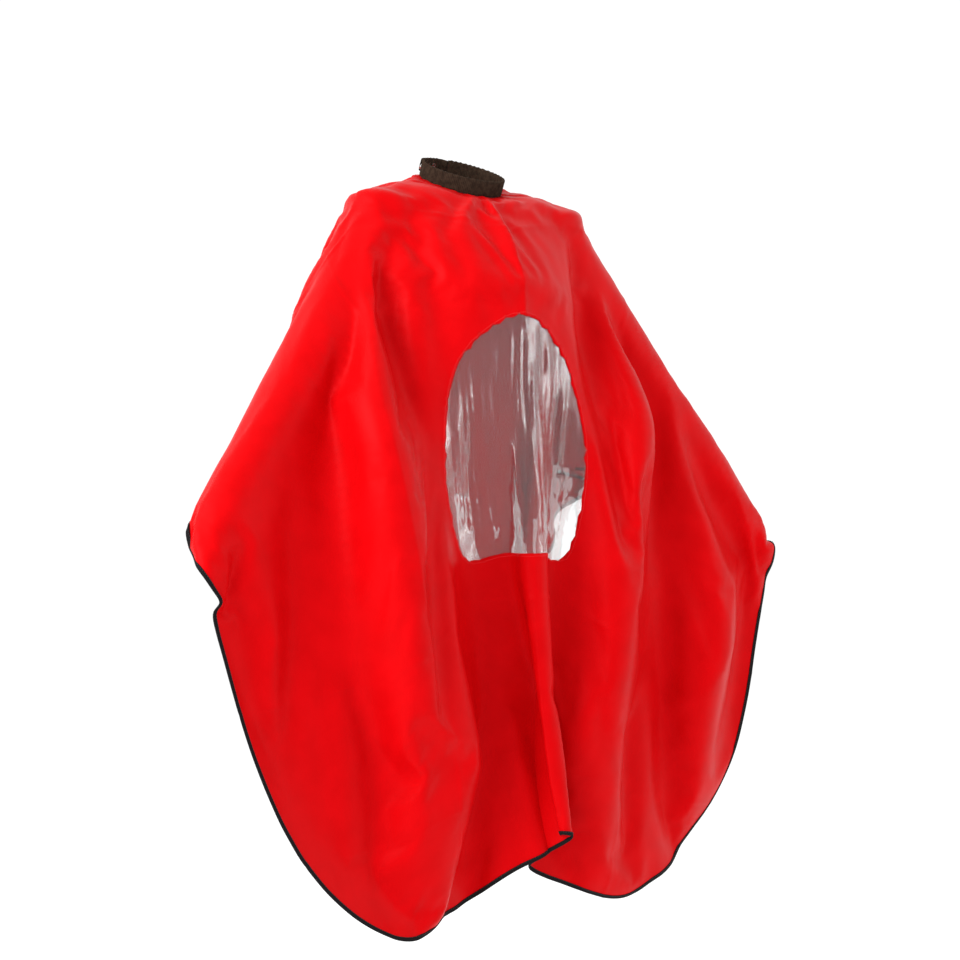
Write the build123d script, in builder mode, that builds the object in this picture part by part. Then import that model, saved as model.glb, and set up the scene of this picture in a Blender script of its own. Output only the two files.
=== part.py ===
"""Barber cape with a clear viewing window, worn over the shoulders with both arms held out.

Frame: origin at the centre of the neckband, +Z up, -Y towards the wearer's front,
+X towards the wearer's left. All lengths are in millimetres and all angles in degrees.
Directions round the neck are angles from the front: +90 is the wearer's left, 180 the back.
"""

from build123d import *
import math
import os

# Cut of the cloth, laid flat
flat_width = 1300.0
flat_front = 1140.0
flat_back = 560.0
front_corner_radius = 250.0
back_corner_radius = 120.0
cloth_thickness = 1.0
slit_angle = 172.0

# Viewing window, measured on the front of the cape
window_width = 262.0
window_height = 340.0
window_bottom = -575.0
window_shoulder = 62.0
window_thickness = 0.3
seam_overlap = 6.0
seam_width = 1.2
seam_height = 0.4
seam_clearance = 0.05
window_reach = 400.0
window_first_column = 16
window_columns = 16
window_first_row = 1
window_rows = 9

# Edge binding, a folded tape sewn over every free edge
binding_width = 6.0
binding_lap = 0.4
binding_gap = 0.15
hem_seam_inset = 1.2
hem_seam_width = 0.8

# Elasticated neckband, cut open at the back
neck_radius = 60.0
band_wall = 4.0
band_height = 23.0
band_tilt = 25.0
band_left_end = 171.0
band_right_end = 187.0
core_wall = 1.6
core_height = 18.0
core_end_margin = 2.0
neck_seam_radius = 0.7
neck_seam_drop = 0.7

# Closure tab, hinged on the left end of the band and snapped over the right end
tab_gap = 3.0
tab_wall = 3.0
tab_root_angle = 171.5
tab_step_angle = 180.0
tab_end_angle = 221.0
tab_height = 20.0
stiffener_wall = 0.8
stiffener_height = 15.0
stiffener_start_angle = 183.0
stiffener_end_angle = 218.0

# Snaps, pressed through the band and the tab
closed_snap_angles = [196.0, 209.5]
spare_snap_angles = [223.0, 236.5]
flange_radius = 4.5
flange_height = 0.6
flange_recess = 0.75
shank_radius = 1.5
shank_clearance = 0.1
stud_base_radius = 3.2
stud_base_height = 0.5
stud_head_radius = 2.6
stud_height = 1.9
socket_radius = 5.4
socket_hole_radius = 3.7
socket_gap = 0.5
socket_plate = 0.6
cap_radius = 6.0
cap_height = 1.4
cap_rounding = 0.9

# The way the cloth runs from the neck: down the front, along each arm and down the back
seam_radius = neck_radius + 0.5 * band_wall
seam_drop = -0.5 * band_height - 1.8
arm_angle = 52.0
front_run = [(0, -112, -78), (0, -158, -180), (0, -182, -420), (0, -200, -760), (0, -214, -1250)]
arm_run = [(122, -24, -29), (197, -16, -50), (276, -36, -160), (430, -84, -395),
           (556, -120, -590), (590, -134, -760), (600, -140, -1060)]
back_run = [(0, 74, -14), (0, 100, -110), (0, 115, -330), (0, 121, -700), (0, 123, -1000)]
belly = 52.0
belly_reach = 350.0
ring_reach = 75.0
crease_angle = 6.0
sample_step = 10.0
grid_columns = 48
grid_rows = 14

band_plane = Plane(
    origin=(0, 0, 0),
    x_dir=(1, 0, 0),
    z_dir=(0, -math.sin(math.radians(band_tilt)), math.cos(math.radians(band_tilt))),
)


def flat_on_band(angle, radius):
    """Point in the neckband's own plane."""
    turn = math.radians(angle)
    return (radius * math.sin(turn), -radius * math.cos(turn))


def on_band(angle, radius, height):
    """Point of the model at a direction, a radius and a height along the neckband's axis."""
    return band_plane.from_local_coords((*flat_on_band(angle, radius), height))


def run_line(angle, points):
    """Smooth line from the neck seam through the given points, sampled at equal steps."""
    with BuildLine() as line:
        Spline(on_band(angle, seam_radius, seam_drop), *points)
    edge = line.edge()
    count = int(edge.length // sample_step)
    return [edge.position_at(sample_step * i / edge.length) for i in range(count + 1)]


def point_on(line, distance):
    """Point at a distance along a sampled line."""
    index = min(int(distance // sample_step), len(line) - 2)
    share = distance / sample_step - index
    return line[index] * (1.0 - share) + line[index + 1] * share


front_line = run_line(0.0, front_run)
left_line = run_line(arm_angle, arm_run)
right_line = run_line(-arm_angle, [(-x, y, z) for x, y, z in arm_run])
back_line = run_line(180.0, back_run)


def sharp_cloth_point(angle, distance):
    """Place of the flat cloth's point, on a surface that is creased along each arm."""
    side_line = left_line if angle >= 0 else right_line
    side_angle = math.copysign(arm_angle, angle)
    turn = abs(angle)
    if turn <= arm_angle:
        share = turn / arm_angle
        start, finish = front_line, side_line
        start_angle, finish_angle = 0.0, side_angle
        outward = -1.0
    else:
        share = (turn - arm_angle) / (180.0 - arm_angle)
        start, finish = side_line, back_line
        start_angle, finish_angle = side_angle, math.copysign(180.0, angle)
        outward = 1.0
    point = point_on(start, distance) * (1.0 - share) + point_on(finish, distance) * share
    swell = belly * math.sin(math.pi * min(share, 1.0)) * (1.0 - math.exp(-(distance / belly_reach) ** 2))
    point = point + Vector(0, outward * swell, 0)
    chord = (on_band(start_angle, seam_radius, seam_drop) * (1.0 - share)
             + on_band(finish_angle, seam_radius, seam_drop) * share)
    ring = on_band(angle, seam_radius, seam_drop)
    return point + (ring - chord) * math.exp(-(distance / ring_reach) ** 2)


def cloth_point(angle, distance):
    """The same place with the creases rounded, as a weighted mean over nearby directions."""
    before = sharp_cloth_point(angle - crease_angle, distance)
    here = sharp_cloth_point(angle, distance)
    after = sharp_cloth_point(angle + crease_angle, distance)
    return before * 0.25 + here * 0.5 + after * 0.25


def cloth_outside(angle, distance):
    """Unit vector out of the cloth, away from the wearer."""
    step = 2.0
    across = cloth_point(angle + step, distance + step) - cloth_point(angle - step, distance + step)
    along = cloth_point(angle, distance + step) - cloth_point(angle, max(distance - step, 0.0))
    return along.cross(across).normalized()


def edge_distance(angle):
    """Distance from the neck seam to the cut edge of the flat cloth in this direction."""
    turn = math.radians(angle)
    across, along = abs(math.sin(turn)), math.cos(turn)
    half = 0.5 * flat_width
    depth = flat_front if along > 0 else flat_back
    radius = front_corner_radius if along > 0 else back_corner_radius
    along = abs(along)
    reach = min(half / max(across, 1e-6), depth / max(along, 1e-6))
    middle_x, middle_y = half - radius, depth - radius
    if reach * across > middle_x and reach * along > middle_y:
        dot = middle_x * across + middle_y * along
        reach = dot + math.sqrt(dot * dot - middle_x ** 2 - middle_y ** 2 + radius ** 2)
    return reach - seam_radius


def cloth_grid(place, lift, columns, rows):
    """Points at a lift above the cloth. place turns two shares from 0 to 1 into angle and distance."""
    grid = []
    for i in range(columns + 1):
        column = []
        for j in range(rows + 1):
            angle, distance = place(i / columns, j / rows)
            column.append(cloth_point(angle, distance) + cloth_outside(angle, distance) * lift)
        grid.append(column)
    return grid


def cell_faces(a, b, c, d):
    """Two triangles that fill a cell; its corners turn anticlockwise seen from outside the solid."""
    return [Face(Wire.make_polygon([a, b, c])), Face(Wire.make_polygon([a, c, d]))]


def cloth_solid(place, low, high, columns, rows):
    """Closed sheet of cloth between two lifts, in flat facets."""
    bottom = cloth_grid(place, low, columns, rows)
    top = cloth_grid(place, high, columns, rows)
    faces = []
    for i in range(columns):
        for j in range(rows):
            faces += cell_faces(bottom[i][j], bottom[i + 1][j], bottom[i + 1][j + 1], bottom[i][j + 1])
            faces += cell_faces(top[i][j], top[i][j + 1], top[i + 1][j + 1], top[i + 1][j])
        faces += cell_faces(bottom[i][0], top[i][0], top[i + 1][0], bottom[i + 1][0])
        faces += cell_faces(bottom[i][rows], bottom[i + 1][rows], top[i + 1][rows], top[i][rows])
    for j in range(rows):
        faces += cell_faces(bottom[0][j], bottom[0][j + 1], top[0][j + 1], top[0][j])
        faces += cell_faces(bottom[columns][j], top[columns][j], top[columns][j + 1], bottom[columns][j + 1])
    return Solid(Shell(faces))


def body_place(u, v):
    angle = slit_angle * (2.0 * u - 1.0)
    return angle, v * (edge_distance(angle) - binding_width - binding_gap)


def window_place(u, v):
    """The part of the cloth's own grid that the window takes, so that both sheets share their facets."""
    column = window_first_column + u * window_columns
    row = window_first_row + v * window_rows
    return body_place(column / grid_columns, row / grid_rows)


def hem_place(u, v):
    angle = slit_angle * (2.0 * u - 1.0)
    return angle, edge_distance(angle) - binding_width * (1.0 - v)


def hem_seam_place(u, v):
    angle = slit_angle * (2.0 * u - 1.0)
    return angle, edge_distance(angle) - binding_width + hem_seam_inset + hem_seam_width * v


def back_edge_place(side):
    """Strip just outside the slit's edge on one side, from the neck to the back hem."""
    def place(u, v):
        distance = v * (edge_distance(slit_angle) - binding_width - binding_gap)
        across = binding_gap + u * binding_width
        return side * (slit_angle + math.degrees(across / (distance + seam_radius))), distance
    return place


def window_profile(margin):
    """Outline of the window seen from the front, grown by a margin: an egg with a cut-off base."""
    half = 0.5 * window_width + margin
    base = window_bottom - margin
    top = window_bottom + window_height + margin
    corner = (0.82 * half, base)
    widest = (half, base + 0.32 * (top - base))
    shoulder = (0.60 * half, top - window_shoulder)
    with BuildSketch(Plane.XZ.offset(20.0)) as profile:
        with BuildLine():
            right = Spline(corner, widest, shoulder, (0, top), tangents=((0.6, 1.0), (-1.0, 0.0)))
            mirror(right, about=Plane.YZ)
            Line(corner, (-corner[0], base))
        make_face()
    return profile.sketch


def ring_sketch(inner, outer, first, last, height):
    """Part of a ring in a plane across the neckband's axis, between two directions."""
    with BuildSketch(band_plane.offset(height)) as ring:
        with BuildLine():
            inside = CenterArc((0, 0), inner, first - 90.0, last - first)
            outside = CenterArc((0, 0), outer, first - 90.0, last - first)
            Line(inside @ 0, outside @ 0)
            Line(inside @ 1, outside @ 1)
        make_face()
    return ring.sketch


def snap_plane(angle, radius):
    """Plane across a snap's axis, which points straight out of the neckband."""
    middle = on_band(angle, radius, 0.0)
    return Plane(origin=middle, x_dir=band_plane.z_dir, z_dir=middle.normalized())


def snap_discs(angles, radius, base, height):
    """One disc on each snap axis, starting at a distance from the neck's axis."""
    discs = []
    for angle in angles:
        with BuildPart() as disc:
            with BuildSketch(snap_plane(angle, base)):
                Circle(radius)
            extrude(amount=height)
        discs.append(disc.part)
    return discs


all_snap_angles = closed_snap_angles + spare_snap_angles
band_outer = neck_radius + band_wall
tab_inner = band_outer + tab_gap
tab_outer = tab_inner + tab_wall
core_inner = neck_radius + 0.5 * (band_wall - core_wall)
stiffener_inner = tab_inner + 0.5 * (tab_wall - stiffener_wall)


# The cloth itself, one cut piece with a hole for the window
with BuildPart() as cape_body:
    add(cloth_solid(body_place, 0.0, cloth_thickness, grid_columns, grid_rows))
    extrude(window_profile(0.0), amount=window_reach, mode=Mode.SUBTRACT)

# Clear panel behind the hole, lapped under the cloth all round
with BuildPart() as window_panel:
    add(cloth_solid(window_place, -window_thickness, 0.0, window_columns, window_rows))
    extrude(window_profile(seam_overlap), amount=window_reach, mode=Mode.INTERSECT)

# Line of stitches that holds the panel, on its inner side
with BuildPart() as window_stitching:
    panel_back = -window_thickness - seam_clearance
    add(cloth_solid(window_place, panel_back - seam_height, panel_back, window_columns, window_rows))
    extrude(window_profile(0.5 * seam_overlap + seam_width), amount=window_reach, mode=Mode.INTERSECT)
    extrude(window_profile(0.5 * seam_overlap), amount=window_reach, mode=Mode.SUBTRACT)

# Binding round the outer edge and up both sides of the back slit
with BuildPart() as hem_binding:
    add(cloth_solid(hem_place, -binding_lap, cloth_thickness + binding_lap, grid_columns, 1))

with BuildPart() as left_back_binding:
    add(cloth_solid(back_edge_place(1.0), -binding_lap, cloth_thickness + binding_lap, 1, grid_rows))

with BuildPart() as right_back_binding:
    add(cloth_solid(back_edge_place(-1.0), -binding_lap, cloth_thickness + binding_lap, 1, grid_rows))

# Stitches along the hem binding
with BuildPart() as hem_stitching:
    hem_top = cloth_thickness + binding_lap + seam_clearance
    add(cloth_solid(hem_seam_place, hem_top, hem_top + seam_height, grid_columns, 1))

# Knitted tube of the neckband, with the snap holes in its right end
with BuildPart() as neckband_cover:
    extrude(ring_sketch(neck_radius, band_outer, band_right_end - 360.0, band_left_end, -0.5 * band_height),
            amount=band_height)
    extrude(ring_sketch(core_inner, core_inner + core_wall, band_right_end - 360.0 + core_end_margin,
                        band_left_end - core_end_margin, -0.5 * core_height),
            amount=core_height, mode=Mode.SUBTRACT)
    add(snap_discs(all_snap_angles, shank_radius + shank_clearance, neck_radius - 1.0, band_wall + 2.0),
        mode=Mode.SUBTRACT)
    add(snap_discs(all_snap_angles, flange_radius + shank_clearance, neck_radius - 1.0, 1.0 + flange_recess),
        mode=Mode.SUBTRACT)

# Elastic inside the knitted tube
with BuildPart() as neckband_elastic:
    extrude(ring_sketch(core_inner, core_inner + core_wall, band_right_end - 360.0 + core_end_margin,
                        band_left_end - core_end_margin, -0.5 * core_height), amount=core_height)
    add(snap_discs(all_snap_angles, shank_radius + shank_clearance, neck_radius - 1.0, band_wall + 2.0),
        mode=Mode.SUBTRACT)

# Thread that joins the cloth to the band
with BuildPart() as neck_seam_thread:
    with BuildLine(band_plane.offset(-0.5 * band_height - neck_seam_drop)) as seam_path:
        CenterArc((0, 0), seam_radius, -slit_angle - 90.0, 2.0 * slit_angle)
    with BuildSketch(Plane(origin=seam_path.line @ 0, z_dir=seam_path.line % 0)):
        Circle(neck_seam_radius)
    sweep()

# Studs on the right end of the band: two in use and two spare for a smaller neck
with BuildPart() as snap_studs:
    add(snap_discs(all_snap_angles, stud_base_radius, band_outer, stud_base_height))
    add(snap_discs(all_snap_angles, stud_head_radius, band_outer, stud_height))
    add(snap_discs(all_snap_angles, shank_radius + shank_clearance, band_outer - 1.0, 1.0 + 0.5 * stud_height),
        mode=Mode.SUBTRACT)

# Rivets that hold the studs, flush with the inside of the band
with BuildPart() as stud_rivets:
    add(snap_discs(all_snap_angles, flange_radius, neck_radius + flange_recess - flange_height, flange_height))
    add(snap_discs(all_snap_angles, shank_radius, neck_radius + flange_recess - flange_height,
                   band_wall - flange_recess + flange_height + 0.4 * stud_height))

# Tab that closes the neckband
with BuildPart() as closure_tab:
    extrude(ring_sketch(tab_inner, tab_outer, tab_step_angle, tab_end_angle, -0.5 * tab_height), amount=tab_height)
    with BuildSketch(band_plane.offset(-0.5 * tab_height)):
        with BuildLine():
            Polyline(
                flat_on_band(tab_root_angle, band_outer - tab_wall),
                flat_on_band(tab_root_angle, band_outer),
                flat_on_band(tab_step_angle, tab_outer),
                flat_on_band(tab_step_angle, tab_inner),
                close=True,
            )
        make_face()
    extrude(amount=tab_height)
    extrude(ring_sketch(stiffener_inner, stiffener_inner + stiffener_wall, stiffener_start_angle,
                        stiffener_end_angle, -0.5 * stiffener_height), amount=stiffener_height, mode=Mode.SUBTRACT)
    add(snap_discs(closed_snap_angles, shank_radius + shank_clearance, tab_inner - 1.0, tab_wall + 2.0),
        mode=Mode.SUBTRACT)

# Firm layer inside the tab that the snaps are pressed through
with BuildPart() as tab_stiffener:
    extrude(ring_sketch(stiffener_inner, stiffener_inner + stiffener_wall, stiffener_start_angle,
                        stiffener_end_angle, -0.5 * stiffener_height), amount=stiffener_height)
    add(snap_discs(closed_snap_angles, shank_radius + shank_clearance, tab_inner - 1.0, tab_wall + 2.0),
        mode=Mode.SUBTRACT)

# Sockets on the tab's inner side, open towards the studs
socket_base = band_outer + socket_gap
socket_top = tab_inner - 0.3
with BuildPart() as snap_sockets:
    add(snap_discs(closed_snap_angles, socket_radius, socket_base, socket_top - socket_base))
    add(snap_discs(closed_snap_angles, socket_hole_radius, socket_base, socket_top - socket_base - socket_plate),
        mode=Mode.SUBTRACT)

# Caps on the tab's outer side, with the shanks that reach the sockets
with BuildPart() as snap_caps:
    for angle in closed_snap_angles:
        with BuildSketch(snap_plane(angle, tab_outer)):
            Circle(cap_radius)
        extrude(amount=cap_height)
    fillet(snap_caps.edges().filter_by(GeomType.CIRCLE).group_by(
        lambda edge: round((edge.arc_center).length, 1))[-1], radius=cap_rounding)
    add(snap_discs(closed_snap_angles, shank_radius, socket_top, tab_outer - socket_top))

pieces = {
    "cape_body": cape_body,
    "window_panel": window_panel,
    "window_stitching": window_stitching,
    "hem_binding": hem_binding,
    "left_back_binding": left_back_binding,
    "right_back_binding": right_back_binding,
    "hem_stitching": hem_stitching,
    "neckband_cover": neckband_cover,
    "neckband_elastic": neckband_elastic,
    "neck_seam_thread": neck_seam_thread,
    "snap_studs": snap_studs,
    "stud_rivets": stud_rivets,
    "closure_tab": closure_tab,
    "tab_stiffener": tab_stiffener,
    "snap_sockets": snap_sockets,
    "snap_caps": snap_caps,
}

os.makedirs("parts", exist_ok=True)
for name, piece in pieces.items():
    piece.part.label = name
    export_step(piece.part, f"parts/{name}.step")

hinge = on_band(tab_root_angle - 0.2, band_outer + 0.2, 0.0)
print("tab hinge", hinge, "axis", band_plane.z_dir)
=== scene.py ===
"""Barber cape with a clear viewing window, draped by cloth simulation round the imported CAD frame.

Everything is in metres: +Z up, -Y towards the wearer's front, +X towards the wearer's left.
"""
import bpy
import bmesh
import math
import numpy as np
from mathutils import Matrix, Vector, geometry, noise
from mathutils.kdtree import KDTree


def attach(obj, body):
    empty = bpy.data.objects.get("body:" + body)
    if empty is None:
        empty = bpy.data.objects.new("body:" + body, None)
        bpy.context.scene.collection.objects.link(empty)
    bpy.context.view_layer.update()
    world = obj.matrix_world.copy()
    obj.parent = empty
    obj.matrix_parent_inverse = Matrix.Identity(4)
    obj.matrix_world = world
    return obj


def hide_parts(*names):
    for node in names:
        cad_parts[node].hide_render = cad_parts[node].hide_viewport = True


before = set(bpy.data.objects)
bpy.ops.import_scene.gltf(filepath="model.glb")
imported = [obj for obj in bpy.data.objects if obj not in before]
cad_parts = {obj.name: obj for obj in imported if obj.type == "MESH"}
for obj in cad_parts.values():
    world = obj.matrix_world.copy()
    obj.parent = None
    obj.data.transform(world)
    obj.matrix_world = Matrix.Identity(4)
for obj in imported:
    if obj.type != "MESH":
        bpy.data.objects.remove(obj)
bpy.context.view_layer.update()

# Cut of the cloth, laid flat: x across, y from the front edge (negative) to the back edge
FLAT_WIDTH = 1.30
FLAT_FRONT = 1.10
FLAT_BACK = 0.56
FRONT_CORNER = 0.40
FRONT_RISE = 0.05
BACK_CORNER = 0.12
SLIT_CORNER = 0.05
NECK_CUT = 0.076
SLIT_HALF_GAP = 0.012

# Window, in the same flat cut
WINDOW_TOP = -0.318
WINDOW_HEIGHT = 0.338
WINDOW_WIDTH = 0.302
WINDOW_SAG = 0.008

# Size of the simulated cloth's triangles, and steps along the cut's curves and the start shape's lines
GRAIN = 0.016
CURVE_STEP = 0.004
LINE_STEP = 0.01

# Neckband and closure tab, as in the CAD, and the line round the band where the cloth is sewn on
BAND_RADIUS = 0.060
BAND_WALL = 0.004
BAND_HEIGHT = 0.023
BAND_TILT = math.radians(25)
BAND_START = math.radians(-173)
BAND_STOP = math.radians(171)
TAB_START = math.radians(171.05)
TAB_STOP = math.radians(221)
SEAM_RADIUS = BAND_RADIUS + 0.5 * BAND_WALL
SEAM_DROP = -0.5 * BAND_HEIGHT - 0.0008
RIBS = 150

# The way the cloth runs from the neck down the front and over each hand, and the hands' angle from the front
FRONT_RUN = [(0, -0.112, -0.078), (0, -0.158, -0.180), (0, -0.175, -0.420), (0, -0.190, -0.760),
             (0, -0.200, -1.250)]
RIGHT_RUN = [(-0.135, -0.020, -0.028), (-0.194, -0.012, -0.055), (-0.209, -0.016, -0.095),
             (-0.330, -0.055, -0.300), (-0.451, -0.095, -0.463), (-0.513, -0.120, -0.595),
             (-0.530, -0.125, -0.700), (-0.535, -0.130, -1.000)]
LEFT_RUN = [(0.135, -0.020, -0.022), (0.194, -0.012, -0.046), (0.209, -0.016, -0.080),
            (0.325, -0.055, -0.260), (0.460, -0.095, -0.463), (0.514, -0.120, -0.558),
            (0.530, -0.125, -0.660), (0.535, -0.130, -0.960)]
ARM_ANGLE = math.radians(52)

# Start shape: bulge of the front, slope of the held-out back, power by which a row's leftover width is
# taken up, and the steepest slope of a fold
BELLY = 0.05
CONE = 0.2
EASE = 2.0
STEEPEST = 1.7

# Folds across the front, on the wearer's right (-1) and left (1): start and stop at window level, start and
# stop at the hem, first out (1) or in (-1), and the weight at both levels
FRONT_FOLDS = {-1: [((0.02, 0.03), (0.0, 0.14), -1, 0.0, 0.9), ((0.18, 0.44), (0.13, 0.44), 1, 1.0, 1.0)],
               1: [((0.16, 0.42), (0.05, 0.36), 1, 1.0, 1.0), ((0.40, 0.50), (0.38, 0.62), 1, 0.0, 0.5)]}

# Simulation; the hands hold the flat cut's side edges this far in front of the neck's centre
HAND_Y = 0.508
SIM = dict(frames=64, quality=6, mass=0.13, air=1.0, tension=14.0, shear=5.0, bend=1.5, window_bend=25.0,
           hand_pin=0.015)

# After it, the loose panels are drawn in past a plane, so that they end at most a depth beyond it
BACK_PLANE = 0.06
BACK_DEPTH = 0.060
FRONT_PLANE = 0.19
FRONT_DEPTH = 0.050

# Thin pieces; the folded tape's section has (inward, outward) offsets from the cloth's edge
CLOTH_WALL = 0.0006
FILM_WALL = 0.0003
FILM_GAP = 0.0002
PANE_LAP = 0.008
TAPE_WIDTH = 0.005
TAPE_SECTION = [(0.0050, 0.0001), (0.0050, 0.0007), (0.0028, 0.0010), (0.0004, 0.0009),
                (-0.0006, 0.0005), (-0.0008, -0.0003), (-0.0006, -0.0011), (0.0004, -0.0015),
                (0.0028, -0.0016), (0.0050, -0.0013), (0.0050, -0.0007)]

# Surroundings; each light has a name, then its place to the right of the camera's line, nearer the camera
# and above the target, its size and its power
FLOOR = -1.45
FLOOR_HALF = 40
WORLD_LIGHT = 1.06
LIGHTS = [("key", -2.2, 2.1, 1.2, 2.0, 120), ("side", 2.6, 0.6, 0.9, 1.6, 16)]
CAMERA_BEARING = math.radians(-35)
CAMERA_RISE = math.radians(-1.3)
CAMERA_DISTANCE = 2.5
CAMERA_LENS = 62.5


def band_point(angle, radius=SEAM_RADIUS, height=SEAM_DROP):
    """Point round the neckband; angle 0 is the front and a quarter turn the wearer's left."""
    x, y = radius * math.sin(angle), -radius * math.cos(angle)
    lean, rise = math.sin(BAND_TILT), math.cos(BAND_TILT)
    return Vector((x, y * rise - height * lean, y * lean + height * rise))


def smooth_line(start, points, step=LINE_STEP):
    """Catmull-Rom line through the start and the points, as a list of points at equal steps."""
    knots = [Vector(start)] + [Vector(p) for p in points]
    dense, parts = [], 24
    for i in range(len(knots) - 1):
        before = knots[i - 1] if i else knots[0] * 2 - knots[1]
        after = knots[i + 2] if i + 2 < len(knots) else knots[-1] * 2 - knots[-2]
        a, b = knots[i], knots[i + 1]
        for k in range(parts):
            t = k / parts
            dense.append(0.5 * (2 * a + (b - before) * t + (2 * before - 5 * a + 4 * b - after) * t * t
                                + (3 * a - before - 3 * b + after) * t ** 3))
    dense.append(knots[-1])
    return resample(dense, step)


def resample(points, step, closed=False):
    """Points at equal steps, as near to the asked step as divides the whole length."""
    line = list(points) + ([points[0]] if closed else [])
    lengths = [0.0]
    for a, b in zip(line[:-1], line[1:]):
        lengths.append(lengths[-1] + (b - a).length)
    count = max(1, round(lengths[-1] / step))
    result, j = [], 0
    for i in range(count + (0 if closed else 1)):
        want = min(lengths[-1] * i / count, lengths[-1])
        while j < len(lengths) - 2 and lengths[j + 1] < want:
            j += 1
        span = max(lengths[j + 1] - lengths[j], 1e-12)
        result.append(line[j].lerp(line[j + 1], (want - lengths[j]) / span))
    return result


def line_point(line, distance):
    """Point at a distance along a smooth line."""
    index = min(int(distance / LINE_STEP), len(line) - 2)
    return line[index].lerp(line[index + 1], distance / LINE_STEP - index) if index >= 0 else line[0]


def flat_tree(points):
    """Search tree over points of the flat cut."""
    tree = KDTree(len(points))
    for i, (x, y) in enumerate(points):
        tree.insert((x, y, 0), i)
    tree.balance()
    return tree


def flat_outline():
    """Closed outline of the flat cut with its neck hole, and the number of points before the hole."""
    half, front, back = 0.5 * FLAT_WIDTH, FLAT_FRONT, FLAT_BACK
    rise = math.sqrt(NECK_CUT ** 2 - SLIT_HALF_GAP ** 2)

    def arc(cx, cy, radius, start, stop):
        steps = max(3, round(abs(stop - start) * radius / CURVE_STEP))
        turns = [start + (stop - start) * i / steps for i in range(steps + 1)]
        return [Vector((cx + radius * math.cos(t), cy + radius * math.sin(t))) for t in turns]

    q = 0.5 * math.pi
    side = [Vector((SLIT_HALF_GAP, rise))]
    side += arc(SLIT_HALF_GAP + SLIT_CORNER, back - SLIT_CORNER, SLIT_CORNER, 2 * q, q)
    side += arc(half - BACK_CORNER, back - BACK_CORNER, BACK_CORNER, q, 0)
    side += arc(half - FRONT_CORNER, -front + FRONT_CORNER, FRONT_CORNER, 0, -q)
    corner_x = half - FRONT_CORNER
    side += [Vector((corner_x - k * CURVE_STEP, -front)) for k in range(int(corner_x / CURVE_STEP))]
    for p in side:
        if p.y < -0.5 * front:
            p.y += FRONT_RISE * max(0.0, 1 - p.x / corner_x) ** 1.5
    whole = side + [Vector((-p.x, p.y)) for p in reversed(side)]
    outer = resample(whole, GRAIN)
    gap = math.asin(SLIT_HALF_GAP / NECK_CUT)
    neck = resample(arc(0, 0, NECK_CUT, q + gap, q - gap + 4 * q), 0.6 * GRAIN)
    return outer + neck[1:-1], len(outer)


def window_outline():
    """Closed outline of the window in the flat cut: an egg with a cut-off base."""
    half, base = 0.5 * WINDOW_WIDTH, WINDOW_TOP - WINDOW_HEIGHT
    right = [(0.40 * half, base - 0.2 * WINDOW_SAG), (0.82 * half, base - WINDOW_SAG),
             (0.96 * half, base + 0.12 * WINDOW_HEIGHT), (half, base + 0.32 * WINDOW_HEIGHT),
             (0.90 * half, base + 0.57 * WINDOW_HEIGHT), (0.60 * half, WINDOW_TOP - 0.18 * WINDOW_HEIGHT),
             (0.28 * half, WINDOW_TOP - 0.045 * WINDOW_HEIGHT), (0, WINDOW_TOP)]
    whole = [(0, base)] + right + [(-x, y) for x, y in reversed(right[:-1])]
    curve = smooth_line((*whole[0], 0), [(x, y, 0) for x, y in whole[1:]], CURVE_STEP)
    flat = [Vector((p.x, p.y)) for p in curve]
    return resample(flat, 0.75 * GRAIN, closed=True)


def inside(loop, points):
    """True for each point that lies inside a closed outline."""
    result = np.zeros(len(points), bool)
    x, y = points[:, 0], points[:, 1]
    for (x1, y1), (x2, y2) in zip(loop, np.roll(loop, 1, axis=0)):
        crosses = (y1 > y) != (y2 > y)
        if crosses.any():
            result ^= crosses & (x < (x2 - x1) * (y - y1) / ((y2 - y1) or 1e-12) + x1)
    return result


def flat_mesh():
    """Even triangles over the flat cut, which of them are window, and its outline's point counts."""
    outline, outer_count = flat_outline()
    window = window_outline()
    loops = [outline, window]
    fixed = [p for loop in loops for p in loop]
    edges, start = [], 0
    for loop in loops:
        edges += [(start + i, start + (i + 1) % len(loop)) for i in range(len(loop))]
        start += len(loop)
    row_step = GRAIN * math.sqrt(3) / 2
    rows = int((FLAT_FRONT + FLAT_BACK) / row_step) + 2
    across = int(0.5 * FLAT_WIDTH / GRAIN) + 2
    grid = np.array([((k + 0.5 * (r % 2)) * GRAIN, -FLAT_FRONT + r * row_step)
                     for r in range(rows) for k in range(-across, across + 1)])
    grid += np.random.default_rng(5).normal(0, 0.06 * GRAIN, grid.shape)
    grid = grid[inside(np.array([tuple(p) for p in outline]), grid)]
    tree = flat_tree(fixed)
    free = [Vector(p) for p in grid if tree.find((p[0], p[1], 0))[2] > 0.6 * GRAIN]
    verts, _, faces, *_ = geometry.delaunay_2d_cdt(fixed + free, edges, [], 0, 1e-7)
    verts = np.array([tuple(p) for p in verts])
    middles = np.array([verts[list(f)].mean(axis=0) for f in faces])
    keep = inside(np.array([tuple(p) for p in outline]), middles)
    faces = [list(f) for f, k in zip(faces, keep) if k]
    clear = inside(np.array([tuple(p) for p in window]), middles[keep])
    return verts, faces, clear, len(outline), outer_count


def fold_slopes(zones, places, low):
    """Slopes of the folds across a row; low runs from 0 at the window to 1 at the hem."""
    pattern = np.zeros_like(places)
    for top, bottom, sign, top_weight, low_weight in zones:
        start, stop = (top[k] + (bottom[k] - top[k]) * low for k in range(2))
        weight = sign * (top_weight + (low_weight - top_weight) * low)
        share = (places - start) / (stop - start)
        pattern += np.where((share > 0) & (share < 1), weight * np.sin(2 * math.pi * share), 0.0)
    return pattern


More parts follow.
